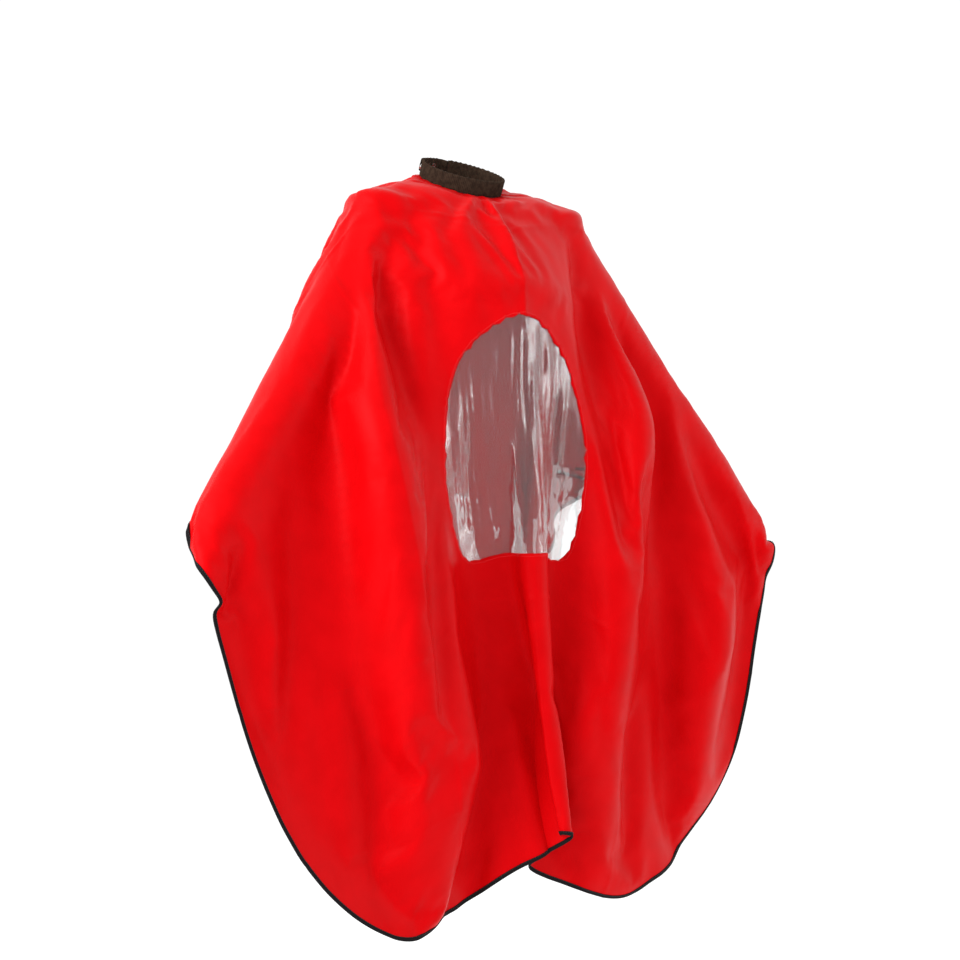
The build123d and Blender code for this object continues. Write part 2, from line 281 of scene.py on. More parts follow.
def folded_row(width, length, pattern):
    """Steps along and out from a straight row, for cloth of a given length that lies in folds across it."""
    low, high = 0.0, STEEPEST
    step = length / (len(pattern) - 1)
    for _ in range(24):
        middle = 0.5 * (low + high)
        low, high = (middle, high) if np.cos(middle * pattern)[:-1].sum() * step > width else (low, middle)
    slopes = low * pattern
    ahead = np.concatenate([[0], np.cumsum(np.cos(slopes)[:-1] * step)])
    out = np.concatenate([[0], np.cumsum(np.sin(slopes)[:-1] * step)])
    excess = ahead[-1] - width
    ahead -= excess * np.linspace(0, 1, len(pattern)) ** EASE
    return ahead / width, out - out[-1] * np.linspace(0, 1, len(pattern))


def start_shape(flat):
    """Worn shape that the cloth falls from: folds laid in across the front, the back held out."""
    lines = {0: smooth_line(band_point(0), FRONT_RUN), 1: smooth_line(band_point(ARM_ANGLE), LEFT_RUN),
             -1: smooth_line(band_point(-ARM_ANGLE), RIGHT_RUN)}
    samples, row_count = 161, 130
    rows = {}
    for side in (1, -1):
        for row in range(row_count):
            down = row * LINE_STEP
            radius = down + NECK_CUT
            near, far = line_point(lines[0], down), line_point(lines[side], down)
            places = radius * np.sin(np.linspace(0, ARM_ANGLE, samples))
            low = min(1.0, max(0.0, (down - 0.35) / 0.45))
            grown = min(1.0, down / 0.2)
            rows[side, row] = folded_row((far - near).length, radius * ARM_ANGLE,
                                         grown * fold_slopes(FRONT_FOLDS[side], places, low))
    result = np.zeros((len(flat), 3))
    for i, (x, y) in enumerate(flat):
        angle = math.atan2(x, -y)
        side = 1 if angle >= 0 else -1
        turn, distance = abs(angle), max(math.hypot(x, y) - NECK_CUT, 0.0)
        far = line_point(lines[side], distance)
        if turn <= ARM_ANGLE:
            share = turn / ARM_ANGLE
            near = line_point(lines[0], distance)
            column = min(int(share * (samples - 1)), samples - 2)
            row = min(int(distance / LINE_STEP), row_count - 2)
            u, v = distance / LINE_STEP - row, share * (samples - 1) - column
            place, out = (sum(rows[side, row + a][k][column + b] * (u if a else 1 - u) * (v if b else 1 - v)
                              for a in (0, 1) for b in (0, 1)) for k in (0, 1))
            point = near.lerp(far, place)
            point.z = near.z + (far.z - near.z) * max(place, 0.0) ** 1.5
            point.y -= out + BELLY * math.sin(math.pi * place) * (1 - math.exp(-(distance / 0.35) ** 2))
            rest = band_point(0).lerp(band_point(side * ARM_ANGLE), share)
        else:
            share = (turn - ARM_ANGLE) / (math.pi - ARM_ANGLE)
            free = min(1.0, share / 0.4)
            free = free * free * (3 - 2 * free)
            seam = band_point(angle)
            reach = math.hypot(far.x, far.y) * (1 - free) + free * (
                math.hypot(seam.x, seam.y) + distance * math.cos(math.atan(CONE)))
            start_way = math.atan2(abs(far.x), -far.y)
            way = start_way + (math.pi - start_way) * share
            height = far.z * (1 - free) + free * (seam.z - distance * math.sin(math.atan(CONE)))
            point = Vector((side * reach * math.sin(way), -reach * math.cos(way), height))
            nearest = line_point(lines[side], 0.0)
            rest_reach = math.hypot(nearest.x, nearest.y) * (1 - free) + free * math.hypot(seam.x, seam.y)
            rest = Vector((side * rest_reach * math.sin(way), -rest_reach * math.cos(way),
                           nearest.z * (1 - free) + free * seam.z))
        point += (band_point(angle) - rest) * math.exp(-(distance / 0.075) ** 2)
        result[i] = point
    return result


def ring_solid(rings, name):
    """Closed surface through rings of points."""
    mesh = bmesh.new()
    loops = [[mesh.verts.new(p) for p in ring] for ring in rings]
    for a, b in zip(loops[:-1], loops[1:]):
        for i in range(len(a)):
            mesh.faces.new((a[i], a[(i + 1) % len(a)], b[(i + 1) % len(a)], b[i]))
    mesh.faces.new(loops[0])
    mesh.faces.new(loops[-1])
    bmesh.ops.recalc_face_normals(mesh, faces=mesh.faces)
    data = bpy.data.meshes.new(name)
    mesh.to_mesh(data)
    mesh.free()
    piece = bpy.data.objects.new(name, data)
    bpy.context.scene.collection.objects.link(piece)
    return piece


def wearer():
    """Plain torso and arms that the cloth falls on; they are removed after the simulation."""
    # height, centre y, half width, half depth
    levels = [(-0.60, -0.03, 0.150, 0.100), (-0.52, -0.03, 0.155, 0.105), (-0.44, -0.035, 0.130, 0.092),
              (-0.35, -0.04, 0.112, 0.085), (-0.25, -0.045, 0.125, 0.100), (-0.185, -0.045, 0.135, 0.108),
              (-0.13, -0.030, 0.150, 0.090), (-0.09, -0.018, 0.168, 0.070), (-0.062, -0.012, 0.172, 0.060),
              (-0.046, -0.010, 0.155, 0.054), (-0.034, -0.008, 0.120, 0.052), (-0.024, -0.006, 0.090, 0.052),
              (-0.010, -0.004, 0.064, 0.052), (0.020, -0.006, 0.054, 0.051), (0.08, -0.02, 0.047, 0.047)]
    turns = [2 * math.pi * i / 40 for i in range(40)]
    rings = [[(w * math.cos(t), cy + d * math.sin(t), z) for t in turns] for z, cy, w, d in levels]
    pieces = [ring_solid(rings, "wearer_torso")]
    for side, run in ((1, LEFT_RUN), (-1, RIGHT_RUN)):
        over = smooth_line(run[1], run[2:6], 0.012)
        outward = Vector((side * 0.86, 0, 0.5))
        rings = []
        for i, p in enumerate(over):
            share = i / (len(over) - 1)
            along = (over[min(i + 1, len(over) - 1)] - over[max(i - 1, 0)]).normalized()
            up = (outward - along * outward.dot(along)).normalized()
            radius = 0.046 - 0.024 * share ** 0.8
            across = along.cross(up)
            middle = p - up * (radius + 0.003)
            rings.append([middle + (up * math.cos(t) + across * math.sin(t)) * radius for t in turns[::2]])
        tip = over[-1] - up * (radius + 0.003)
        for bend in map(math.radians, (35, 65, 85)):
            end = tip + along * radius * math.sin(bend)
            rings.append([end + (up * math.cos(t) + across * math.sin(t)) * radius * math.cos(bend)
                          for t in turns[::2]])
        first = over[0] - outward.normalized() * 0.049
        rings.insert(0, [first + (p - first) * 0.4 - along * 0.02 for p in rings[0]])
        pieces.append(ring_solid(rings, "wearer_arm"))
    for piece in pieces:
        piece.modifiers.new("collide", "COLLISION")
        piece.collision.thickness_outer = 0.006
        piece.collision.thickness_inner = 0.05
        piece.collision.cloth_friction = 8.0
        piece.collision.damping = 0.4
    return pieces


def drape(flat, faces, clear, outer_count, outline_count):
    """Points of the flat cut after it has fallen over the wearer."""
    data = bpy.data.meshes.new("cape_sim")
    data.from_pydata([tuple(p) for p in start_shape(flat)], [], faces)
    cloth = bpy.data.objects.new("cape_sim", data)
    bpy.context.scene.collection.objects.link(cloth)
    cloth.shape_key_add(name="Basis", from_mix=False)
    rest = cloth.shape_key_add(name="flat", from_mix=False)
    rest.data.foreach_set("co", np.c_[flat, np.zeros(len(flat))].ravel())
    held = cloth.vertex_groups.new(name="held")
    neck = list(range(outer_count, outline_count)) + [0, outer_count - 1]
    held.add(neck, 1.0, "REPLACE")
    for side in (1, -1):
        hand = np.hypot(flat[:, 0] - side * 0.5 * FLAT_WIDTH, flat[:, 1] + HAND_Y) < SIM["hand_pin"]
        held.add([int(i) for i in np.where(hand)[0]], 1.0, "REPLACE")
    stiff = cloth.vertex_groups.new(name="stiff")
    stiff.add(sorted({i for f, c in zip(faces, clear) if c for i in f}), 1.0, "REPLACE")
    wearer_pieces = wearer()
    cloth_mod = cloth.modifiers.new("cloth", "CLOTH")
    s = cloth_mod.settings
    s.quality = SIM["quality"]
    s.mass = SIM["mass"]
    s.air_damping = SIM["air"]
    s.tension_stiffness = s.compression_stiffness = SIM["tension"]
    s.shear_stiffness = SIM["shear"]
    s.bending_stiffness = SIM["bend"]
    s.bending_stiffness_max = SIM["bend"] * SIM["window_bend"]
    s.bending_model = "ANGULAR"
    s.vertex_group_mass = "held"
    s.vertex_group_bending = "stiff"
    s.rest_shape_key = rest
    c = cloth_mod.collision_settings
    c.use_collision = True
    c.distance_min = 0.004
    c.collision_quality = 3
    stage = bpy.context.scene
    stage.frame_start, stage.frame_end = 1, SIM["frames"]
    cloth_mod.point_cache.frame_start, cloth_mod.point_cache.frame_end = 1, SIM["frames"]
    for step in range(1, SIM["frames"] + 1):
        stage.frame_set(step)
    fallen = cloth.evaluated_get(bpy.context.evaluated_depsgraph_get()).to_mesh()
    points = np.zeros(len(fallen.vertices) * 3)
    fallen.vertices.foreach_get("co", points)
    for piece in wearer_pieces + [cloth]:
        bpy.data.objects.remove(piece, do_unlink=True)
    stage.frame_set(1)
    return points.reshape(-1, 3)


def noise_at(points, scale, seed):
    """Smooth noise from -1 to 1 at each point, in patches of a given size."""
    return np.array([noise.noise(Vector((x / scale[0] + seed, y / scale[1] + seed, seed)))
                     for x, y in points])


def refined(points, faces, levels):
    """Points, normals and faces of a mesh after smooth subdivision."""
    data = bpy.data.meshes.new("refined")
    data.from_pydata([tuple(p) for p in points], [], faces)
    piece = bpy.data.objects.new("refined", data)
    bpy.context.scene.collection.objects.link(piece)
    smooth = piece.modifiers.new("smooth", "SUBSURF")
    smooth.levels = smooth.render_levels = levels
    smooth.boundary_smooth = "PRESERVE_CORNERS"
    done = bpy.data.meshes.new_from_object(piece.evaluated_get(bpy.context.evaluated_depsgraph_get()))
    count = len(done.vertices)
    co, normals = np.zeros(count * 3), np.zeros(count * 3)
    done.vertices.foreach_get("co", co)
    done.vertices.foreach_get("normal", normals)
    loops = np.zeros(len(done.loops), int)
    done.loops.foreach_get("vertex_index", loops)
    bpy.data.objects.remove(piece, do_unlink=True)
    quads = loops.reshape(-1, 4)
    bpy.data.meshes.remove(done)
    return co.reshape(-1, 3), normals.reshape(-1, 3), quads


def below_band(points):
    """Lets the cloth leave the neckband from its lower edge, and not stand up round it."""
    lean, rise = math.sin(BAND_TILT), math.cos(BAND_TILT)
    height = points[:, 2] * rise - points[:, 1] * lean
    level = points[:, 1] * rise + points[:, 2] * lean
    beyond = np.maximum(np.hypot(points[:, 0], level) - SEAM_RADIUS, 0)
    cap = SEAM_DROP + 0.08 * beyond
    soft = 0.0003 + 0.025 * np.minimum(beyond, 0.1)
    sunk = cap - soft * np.logaddexp(0, (cap - height) / soft) - height
    sunk *= np.exp(-(beyond / 0.075) ** 4)
    sunk += 0.0011 * np.exp(-beyond / 0.006)
    return points + sunk[:, None] * np.array((0, -lean, rise))


def mesh_normals(points, quads):
    """Unit normal at each point of a mesh of quads."""
    across = np.cross(points[quads[:, 2]] - points[quads[:, 0]], points[quads[:, 3]] - points[quads[:, 1]])
    total = np.zeros_like(points)
    for k in range(4):
        np.add.at(total, quads[:, k], across)
    return total / np.maximum(np.linalg.norm(total, axis=1), 1e-12)[:, None]


def make_piece(name, points, faces, material, uv=None, body="cape"):
    """A smooth mesh piece that rides on a body of the frame."""
    data = bpy.data.meshes.new(name)
    data.from_pydata([tuple(p) for p in points], [], [tuple(int(i) for i in f) for f in faces])
    data.materials.append(material)
    data.polygons.foreach_set("use_smooth", [True] * len(data.polygons))
    if uv is not None:
        layer = data.uv_layers.new(name="flat_cut")
        index = np.zeros(len(data.loops), int)
        data.loops.foreach_get("vertex_index", index)
        layer.data.foreach_set("uv", np.asarray(uv)[index].ravel())
    data.update()
    piece = bpy.data.objects.new(name, data)
    bpy.context.scene.collection.objects.link(piece)
    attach(piece, body)
    return piece


def used_part(points, quads, keep, *others):
    """The faces that are kept, with only the points they use."""
    chosen = quads[keep]
    used = np.unique(chosen)
    renumber = np.full(len(points), -1)
    renumber[used] = np.arange(len(used))
    return [points[used], renumber[chosen]] + [o[used] for o in others]


def thicken(piece, thickness):
    """Gives a sheet a thickness, inwards from the modelled surface."""
    solid = piece.modifiers.new("thickness", "SOLIDIFY")
    solid.thickness = thickness
    solid.offset = -1.0
    return piece


def free_edge(quads, flat):
    """Indices round the free edge of the cloth in order, from one side of the slit to the other."""
    ends = {}
    edges = np.concatenate([np.stack([quads[:, k], quads[:, (k + 1) % 4]], 1) for k in range(4)])
    key = np.sort(edges, axis=1)
    _, first, count = np.unique(key, axis=0, return_index=True, return_counts=True)
    for a, b in edges[first[count == 1]]:
        ends[int(a)] = int(b)
    start = next(iter(ends))
    loop = [start]
    while ends[loop[-1]] != start:
        loop.append(ends[loop[-1]])
    away = np.hypot(*flat[loop].T) > NECK_CUT + 0.001
    shift = next(i for i in range(len(loop)) if away[i] and not away[i - 1])
    return [loop[(shift + i) % len(loop)] for i in range(len(loop)) if away[(shift + i) % len(loop)]]


def rail(points, normals, relax=6):
    """Path with its outward, inward and forward directions, for tapes and stitches along an edge."""
    for _ in range(relax):
        padded = np.concatenate([normals[:1], normals, normals[-1:]])
        normals = padded[:-2] + 2 * padded[1:-1] + padded[2:]
        normals /= np.linalg.norm(normals, axis=1)[:, None]
    tangents = np.gradient(points, axis=0)
    tangents /= np.maximum(np.linalg.norm(tangents, axis=1), 1e-12)[:, None]
    inward = np.cross(normals, tangents)
    inward /= np.maximum(np.linalg.norm(inward, axis=1), 1e-12)[:, None]
    return points, np.cross(tangents, inward), inward, tangents


def sweep_section(path, section):
    """Points and faces of a closed tube with a section of (inward, outward) offsets along a path."""
    points, normals, inward, _ = path
    count, sides = len(points), len(section)
    offsets = np.asarray(section)
    body = points[:, None] + inward[:, None] * offsets[:, :1] + normals[:, None] * offsets[:, 1:]
    faces = []
    for i in range(count - 1):
        a, b = i * sides, (i + 1) * sides
        faces += [(a + k, a + (k + 1) % sides, b + (k + 1) % sides, b + k) for k in range(sides)]
    faces += [tuple(range(sides))[::-1], tuple((count - 1) * sides + k for k in range(sides))]
    return body.reshape(-1, 3), faces


def stitches(name, path, pitch, length, radius, material, lift=0.0):
    """Short raised threads along a path, each one a small rounded bar."""
    points, normals, _, tangents = path
    steps = np.linalg.norm(np.diff(points, axis=0), axis=1)
    reach = np.concatenate([[0], np.cumsum(steps)])
    verts, faces = [], []
    turns = [2 * math.pi * k / 6 for k in range(6)]
    for place in np.arange(0.5 * pitch, reach[-1], pitch):
        i = min(int(np.searchsorted(reach, place)), len(points) - 1) - 1
        share = (place - reach[i]) / max(steps[i], 1e-12)
        centre = points[i] * (1 - share) + points[i + 1] * share + normals[i] * lift
        side = np.cross(tangents[i], normals[i])
        base = len(verts)
        for along, size in ((-0.5, 0.25), (-0.36, 0.9), (0.36, 0.9), (0.5, 0.25)):
            drop = -radius * (1 - size)
            for t in turns:
                verts.append(centre + tangents[i] * along * length + side * radius * size * math.cos(t)
                             + normals[i] * (radius * size * math.sin(t) + drop))
        for ring in range(3):
            for k in range(6):
                a, b = base + ring * 6, base + ring * 6 + 6
                faces.append((a + k, a + (k + 1) % 6, b + (k + 1) % 6, b + k))
        faces += [tuple(base + k for k in range(6))[::-1], tuple(base + 18 + k for k in range(6))]
    return make_piece(name, verts, faces, material)


def node(tree, kind, **values):
    """A new shader node with the given settings."""
    made = tree.nodes.new(kind)
    for key, value in values.items():
        setattr(made, key, value)
    return made


def surface(name, colour, roughness, **sockets):
    """A material with the given uniform values on its Principled surface."""
    material = bpy.data.materials.new(name)
    material.use_nodes = True
    shader = material.node_tree.nodes["Principled BSDF"]
    shader.inputs["Base Color"].default_value = (*colour, 1)
    shader.inputs["Roughness"].default_value = roughness
    for key, value in sockets.items():
        shader.inputs[key.replace("_", " ")].default_value = value
    return material


def add_bump(material, height_socket, strength, distance):
    """Adds a bump on top of those that the material has."""
    tree = material.node_tree
    bump = node(tree, "ShaderNodeBump")
    bump.inputs["Strength"].default_value = strength
    bump.inputs["Distance"].default_value = distance
    tree.links.new(height_socket, bump.inputs["Height"])
    shader = tree.nodes["Principled BSDF"]
    if shader.inputs["Normal"].is_linked:
        tree.links.new(shader.inputs["Normal"].links[0].from_socket, bump.inputs["Normal"])
    tree.links.new(bump.outputs["Normal"], shader.inputs["Normal"])


def add_mottle(material, coordinate, scale, colour, other, roughness=None):
    """Slight change of colour and roughness over the surface."""
    tree = material.node_tree
    cloud = node(tree, "ShaderNodeTexNoise")
    cloud.inputs["Scale"].default_value = scale
    cloud.inputs["Detail"].default_value = 4.0
    tree.links.new(coordinate, cloud.inputs["Vector"])
    ramp = node(tree, "ShaderNodeValToRGB")
    for element, place, shade in zip(ramp.color_ramp.elements, (0.35, 0.65), (colour, other)):
        element.position = place
        element.color = (*shade, 1)
    tree.links.new(cloud.outputs["Fac"], ramp.inputs["Fac"])
    shader = tree.nodes["Principled BSDF"]
    tree.links.new(ramp.outputs["Color"], shader.inputs["Base Color"])
    if roughness:
        spread = node(tree, "ShaderNodeMapRange")
        spread.inputs["To Min"].default_value, spread.inputs["To Max"].default_value = roughness
        tree.links.new(cloud.outputs["Fac"], spread.inputs["Value"])
        tree.links.new(spread.outputs["Result"], shader.inputs["Roughness"])


def flat_cut(material):
    """Texture coordinate along the flat cut."""
    return node(material.node_tree, "ShaderNodeUVMap", uv_map="flat_cut").outputs["UV"]


def in_place(material):
    """Texture coordinate in the piece's own space."""
    return node(material.node_tree, "ShaderNodeTexCoord").outputs["Object"]


def stretched(material, coordinate, scale):
    """Texture coordinate scaled differently along each axis."""
    mapping = node(material.node_tree, "ShaderNodeMapping")
    mapping.inputs["Scale"].default_value = scale
    material.node_tree.links.new(coordinate, mapping.inputs["Vector"])
    return mapping.outputs["Vector"]


def texture(material, kind, coordinate, scale, **values):
    """Value of a procedural texture; capitalised names are its sockets, the others its settings."""
    made = node(material.node_tree, kind, **{k: v for k, v in values.items() if k[0].islower()})
    made.inputs["Scale"].default_value = scale
    for key, value in values.items():
        if key[0].isupper():
            made.inputs[key.replace("_", " ")].default_value = value
    material.node_tree.links.new(coordinate, made.inputs["Vector"])
    return made.outputs["Fac"]


# Materials
RED = (0.47, 0.0008, 0.0018)
satin = surface("red_satin_polyester", RED, 0.42, Specular_IOR_Level=0.16)
satin.node_tree.nodes["Principled BSDF"].inputs["Specular Tint"].default_value = (1.0, 0.10, 0.12, 1)
cut = flat_cut(satin)
add_mottle(satin, cut, 26.0, RED, (0.51, 0.0010, 0.0023), roughness=(0.38, 0.48))
add_bump(satin, texture(satin, "ShaderNodeTexWave", cut, 420.0, bands_direction="DIAGONAL"), 0.05, 0.0003)
add_bump(satin, texture(satin, "ShaderNodeTexNoise", stretched(satin, cut, (1.0, 0.35, 1.0)), 60.0,
                        Detail=5.0), 0.12, 0.0010)

film = surface("clear_pvc_film", (0.93, 0.93, 0.94), 0.07, IOR=1.53, Transmission_Weight=0.94, Alpha=0.42,
               Specular_IOR_Level=1.0)
pane = flat_cut(film)
add_bump(film, texture(film, "ShaderNodeTexNoise", stretched(film, pane, (1.0, 0.22, 1.0)), 70.0,
                       Detail=3.0), 0.35, 0.0014)
add_bump(film, texture(film, "ShaderNodeTexNoise", pane, 240.0, Detail=2.0), 0.10, 0.0004)

tape_black = surface("black_binding_tape", (0.006, 0.0055, 0.006), 0.7, Specular_IOR_Level=0.08)
add_bump(tape_black, texture(tape_black, "ShaderNodeTexWave", flat_cut(tape_black), 900.0,
                             bands_direction="DIAGONAL"), 0.35, 0.0003)
knit = surface("dark_ribbed_knit", (0.022, 0.0130, 0.0080), 0.90, Specular_IOR_Level=0.08)
add_mottle(knit, in_place(knit), 180.0, (0.020, 0.0115, 0.0072), (0.038, 0.023, 0.0145))
add_bump(knit, texture(knit, "ShaderNodeTexNoise", in_place(knit), 1400.0, Detail=3.0), 0.5, 0.0005)
thread_red = surface("red_window_thread", (0.62, 0.004, 0.008), 0.55)
thread_black = surface("black_thread", (0.016, 0.015, 0.016), 0.5)
for thread in (thread_red, thread_black):
    add_bump(thread, texture(thread, "ShaderNodeTexNoise", in_place(thread), 1800.0), 0.4, 0.0002)
nickel = surface("nickel_snaps", (0.72, 0.70, 0.66), 0.24, Metallic=1.0)
add_mottle(nickel, in_place(nickel), 900.0, (0.70, 0.68, 0.64), (0.76, 0.74, 0.70), roughness=(0.2, 0.3))
capped = surface("black_enamel_snap_caps", (0.018, 0.018, 0.020), 0.28)
add_mottle(capped, in_place(capped), 700.0, (0.016, 0.016, 0.018), (0.024, 0.024, 0.027),
           roughness=(0.22, 0.34))

# The cloth falls into place, its loose panels are drawn in, and the result is refined
flat, faces, clear, outline_count, outer_count = flat_mesh()
fallen = drape(flat, faces, clear, outer_count, outline_count)
LEVELS = 2
fine_flat, _, quads = refined(np.c_[flat, np.zeros(len(flat))], faces, LEVELS)
for way, plane, depth in ((1, BACK_PLANE, BACK_DEPTH), (-1, FRONT_PLANE, FRONT_DEPTH)):
    flare = np.maximum(way * fallen[:, 1] - plane, 0)
    fallen[:, 1] -= way * (flare - depth * (1 - np.exp(-flare / depth)))
fine, normals, _ = refined(below_band(fallen), faces, LEVELS)
fine_flat = fine_flat[:, :2]
is_clear = np.repeat(np.asarray(clear), 3 * 4 ** (LEVELS - 1))
pane_edge = np.array([tuple(p) for p in resample(window_outline(), 0.003, closed=True)])
pane_tree = flat_tree(pane_edge)
seen = np.abs(fine_flat[:, 0]) < WINDOW_WIDTH
to_pane = np.full(len(fine_flat), 1.0)
to_pane[seen] = [pane_tree.find((x, y, 0))[2] for x, y in fine_flat[seen]]
in_pane = inside(pane_edge, fine_flat)
to_neck = np.hypot(*fine_flat.T) - NECK_CUT
turn = np.arctan2(fine_flat[:, 0], -fine_flat[:, 1])


def near(distance, reach):
    """Bell curve that is 1 at no distance and falls off over the reach."""
    return np.exp(-(distance / reach) ** 2)


# Gathers at the neck, fine wrinkles, packing creases, the window's turned edge and its ripples
gather_beat = turn * 46 + 2.2 * np.sin(turn * 7 + 1) + 1.4 * np.sin(turn * 13)
lift = 0.0010 * near(to_neck - 0.006, 0.030) * (1 - near(to_neck, 0.004)) * np.sin(gather_beat)
lift += 0.0016 * near(to_neck - 0.05, 0.055) * np.sin(0.37 * gather_beat + 0.8)
cloth_far = (1 - near(to_neck, 0.03)) * np.clip(to_pane / 0.02, 0, 1)
lift += cloth_far * (0.0006 * noise_at(fine_flat, (0.030, 0.055), 3.1)
                     + 0.0016 * noise_at(fine_flat, (0.10, 0.22), 8.4))
crease_reach = 0.0035
for crease_y, depth in ((-0.175, 0.0011), (-0.72, 0.0008), (-0.93, 0.0005), (0.30, 0.0008)):
    uneven = 0.7 + 0.3 * np.sin(40 * fine_flat[:, 0])
    lift += cloth_far * depth * near(fine_flat[:, 1] - crease_y, crease_reach) * uneven
for crease_x, depth in ((0.0, 0.0010), (-0.30, 0.0007), (0.30, 0.0007)):
    lift += cloth_far * depth * near(fine_flat[:, 0] - crease_x, crease_reach) * (~in_pane)
lift += 0.0007 * near(to_pane - 0.004, 0.0035) * (~in_pane)
ripple = np.clip(to_pane / 0.035, 0, 1) * in_pane
low = np.clip((WINDOW_TOP - WINDOW_HEIGHT * 0.55 - fine_flat[:, 1]) / (0.4 * WINDOW_HEIGHT), 0, 1)
lift += ripple * (0.0042 * noise_at(fine_flat, (0.016, 0.16), 1.7)
                  + 0.0020 * noise_at(fine_flat, (0.007, 0.07), 5.9)
                  + 0.0025 * low * noise_at(fine_flat, (0.014, 0.016), 9.3))
fine = fine + normals * lift[:, None]
normals = mesh_normals(fine, quads)

cloth_points, cloth_quads, cloth_uv = used_part(fine, quads, ~is_clear, fine_flat)
cape_cloth = thicken(make_piece("cape_cloth", cloth_points, cloth_quads, satin, cloth_uv), CLOTH_WALL)
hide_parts("cape_body")

lap = is_clear | (to_pane[quads].max(axis=1) < PANE_LAP)
sunk = fine - normals * (CLOTH_WALL + FILM_GAP)
pane_points, pane_quads, pane_uv = used_part(sunk, quads, lap, fine_flat)
window_film = thicken(make_piece("window_film", pane_points, pane_quads, film, pane_uv), FILM_WALL)
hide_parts("window_panel")


def surface_rail(line):
    """Path on the cloth under a line of the flat cut, with the cloth's outward directions."""
    tree = flat_tree(fine_flat)
    points, directions = [], []
    for x, y in line:
        found = tree.find_n((x, y, 0), 4)
        weights = np.array([1 / (d + 1e-5) for _, _, d in found])
        index = [i for _, i, _ in found]
        weights /= weights.sum()
        points.append((fine[index] * weights[:, None]).sum(0))
        directions.append((normals[index] * weights[:, None]).sum(0))
    return np.array(points), np.array(directions)


# Stitches round the window
spread = pane_edge - pane_edge.mean(0)
line = [tuple(p) for p in pane_edge + spread / np.linalg.norm(spread, axis=1)[:, None] * 0.5 * PANE_LAP]
line.append(line[0])
seam_points, seam_normals = surface_rail(line)
window_stitches = stitches("window_stitches", rail(seam_points, seam_normals), 0.0032, 0.0024, 0.00035,
                           thread_red, lift=0.0001)
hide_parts("window_stitching")

# Binding folded over the free edge, with its stitches
edge = free_edge(quads, fine_flat)
edge_rail = rail(fine[edge], normals[edge])
beside = np.zeros_like(fine)
np.add.at(beside, quads.ravel(), np.repeat(fine[quads].mean(axis=1), 4, axis=0) - fine[quads.ravel()])
if np.einsum("ij,ij->i", edge_rail[2], beside[edge]).mean() < 0:
    edge_rail = (edge_rail[0], edge_rail[1], -edge_rail[2], edge_rail[3])
tape_points, tape_faces = sweep_section(edge_rail, TAPE_SECTION)
sides = len(TAPE_SECTION)
tape_uv = np.c_[np.repeat(np.arange(len(edge)) * 0.004, sides), np.tile(np.arange(sides) * 0.001, len(edge))]
hem_tape = make_piece("hem_tape", tape_points, tape_faces, tape_black, tape_uv)
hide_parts("hem_binding", "left_back_binding", "right_back_binding")
stitch_rail = (edge_rail[0] + edge_rail[2] * TAPE_WIDTH * 0.8 + edge_rail[1] * 0.0012,) + edge_rail[1:]
hem_stitches = stitches("hem_stitches", stitch_rail, 0.0036, 0.0026, 0.0003, thread_black)
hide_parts("hem_stitching")


def knit_ring(name, radius_at, start, stop, wall, height, ruffle, body, end_round=0.0):
    """Ribbed knit band round the neck axis, with its upper edge drawn up into small gathers."""
    per_rib = 7
    columns = int(abs(stop - start) / (2 * math.pi) * RIBS * per_rib)
    around, rows = 26, []
    for c in range(columns + 1):
        angle = start + (stop - start) * c / columns
        wave = math.cos(angle * RIBS)
        gather = math.sin(angle * RIBS / 3 + 1.3 * math.sin(angle * 5) + 0.7 * math.sin(angle * 11))
        edge_left = min((angle - start), (stop - angle)) * 0.066
        squeeze = 1.0
        if end_round and (stop - angle) * 0.068 < end_round:
            gap = 1 - (stop - angle) * 0.068 / end_round
            squeeze = math.sqrt(max(0.0, 1 - gap ** 4))
        thin = min(1.0, 0.35 + 0.65 * max(edge_left, 0.0) / 0.0015)
        ring = []
        for k in range(around):
            t = 2 * math.pi * k / around
            c_t, s_t = math.cos(t), math.sin(t)
            out = math.copysign(abs(c_t) ** 0.42, c_t) * 0.5 * wall * thin
            up = math.copysign(abs(s_t) ** 0.30, s_t) * 0.5 * height * squeeze
            rib = 0.00032 * wave * math.copysign(min(1.0, abs(c_t) * 3), c_t)
            top = max(0.0, (up / (0.5 * height) - 0.45) / 0.55)
            drawn = ruffle * (0.55 * gather * top + 0.2 * wave * top)
            waist = -0.0005 * math.exp(-((up / (0.5 * height) - 0.42) / 0.13) ** 2) * math.copysign(1, c_t)
            radius = radius_at(angle) + out + rib + waist + 0.4 * drawn
            ring.append(band_point(angle, radius, up + 0.45 * drawn * top))
        rows.append(ring)
    verts = [p for ring in rows for p in ring]
    made = []
    for c in range(columns):
        a, b = c * around, (c + 1) * around
        made += [(a + k, b + k, b + (k + 1) % around, a + (k + 1) % around) for k in range(around)]
    made += [tuple(range(around)), tuple(columns * around + k for k in range(around))[::-1]]
    return make_piece(name, verts, made, knit, body=body)


neckband = knit_ring("neckband_knit", lambda angle: SEAM_RADIUS, BAND_START, BAND_STOP, BAND_WALL - 0.0008,
                     BAND_HEIGHT, 0.0016, "cape")
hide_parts("neckband_cover", "neckband_elastic")


def tab_radius(angle):
    """The tab starts in line with the band and then lies outside it."""
    share = min(1.0, max(0.0, (math.degrees(angle) - 171.5) / 8.5))
    return 0.0625 + 0.006 * share * share * (3 - 2 * share)


tab = knit_ring("closure_tab_knit", tab_radius, TAB_START, TAB_STOP, 0.0026, 0.020, 0.0, "tab",
                end_round=0.008)
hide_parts("closure_tab", "tab_stiffener")

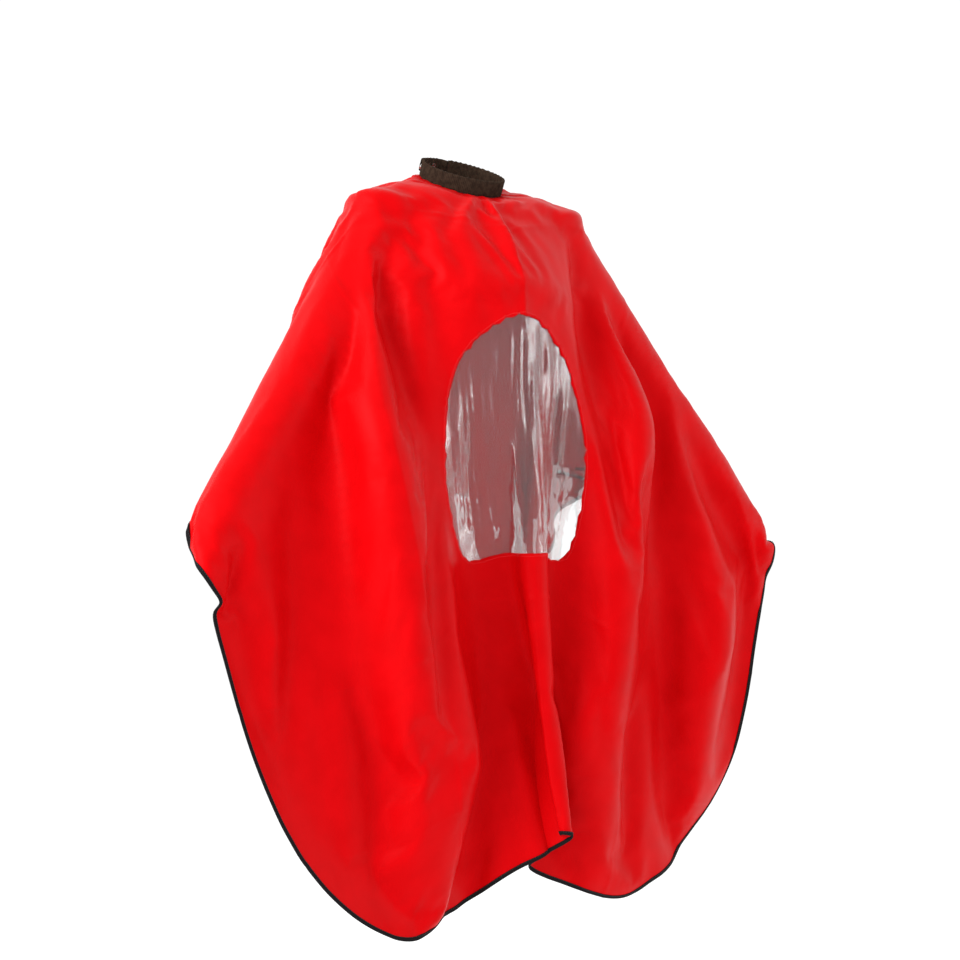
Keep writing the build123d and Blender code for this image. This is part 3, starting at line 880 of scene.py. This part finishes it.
# Seam between the cloth and the band
seam_turns = np.linspace(math.radians(-172), math.radians(172), 420)
seam_line = np.array([tuple(band_point(a, SEAM_RADIUS, SEAM_DROP + 0.0003)) for a in seam_turns])
seam_out = np.array([tuple(band_point(a, SEAM_RADIUS + 1, SEAM_DROP) - band_point(a, SEAM_RADIUS, SEAM_DROP))
                     for a in seam_turns])
neck_seam = stitches("neck_seam", rail(seam_line, seam_out, relax=0), 0.0030, 0.0027, 0.0007, thread_black)
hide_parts("neck_seam_thread")

for name, material in (("snap_studs", nickel), ("stud_rivets", nickel), ("snap_sockets", nickel),
                       ("snap_caps", capped)):
    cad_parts[name].data.materials.clear()
    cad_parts[name].data.materials.append(material)

# Floor, lights and camera
floor_data = bpy.data.meshes.new("floor")
corners = [(x * FLOOR_HALF, y * FLOOR_HALF, FLOOR) for x, y in ((-1, -1), (1, -1), (1, 1), (-1, 1))]
floor_data.from_pydata(corners, [], [(0, 1, 2, 3)])
floor = bpy.data.objects.new("floor", floor_data)
bpy.context.scene.collection.objects.link(floor)
floor_data.materials.append(surface("pale_floor", (0.97, 0.97, 0.97), 1.0, Specular_IOR_Level=0.0))

world = bpy.data.worlds.new("studio")
bpy.context.scene.world = world
world.use_nodes = True
world.node_tree.nodes["Background"].inputs["Color"].default_value = (1, 1, 1, 1)
world.node_tree.nodes["Background"].inputs["Strength"].default_value = WORLD_LIGHT

right_way = Vector((math.cos(CAMERA_BEARING), math.sin(CAMERA_BEARING), 0))
toward_camera = Vector((math.sin(CAMERA_BEARING), -math.cos(CAMERA_BEARING), 0))
target = Vector((0, 0, -0.456)) + right_way * 0.027


def soft_light(name, right, nearer, height, size, power):
    """Large square light that faces the middle of the cape."""
    data = bpy.data.lights.new(name, "AREA")
    data.shape, data.size, data.energy = "SQUARE", size, power
    piece = bpy.data.objects.new(name, data)
    piece.location = target + right_way * right + toward_camera * nearer + Vector((0, 0, height))
    piece.rotation_euler = (target - piece.location).to_track_quat("-Z", "Y").to_euler()
    bpy.context.scene.collection.objects.link(piece)


for values in LIGHTS:
    soft_light(*values)

camera = bpy.data.objects.new("camera", bpy.data.cameras.new("camera"))
camera.data.lens = CAMERA_LENS
camera.data.sensor_width = 36.0
back_way = toward_camera * math.cos(CAMERA_RISE) + Vector((0, 0, math.sin(CAMERA_RISE)))
camera.location = target + back_way * CAMERA_DISTANCE
camera.rotation_euler = (target - camera.location).to_track_quat("-Z", "Y").to_euler()
bpy.context.scene.collection.objects.link(camera)
bpy.context.scene.camera = camera
bpy.context.scene.view_settings.view_transform = "Standard"
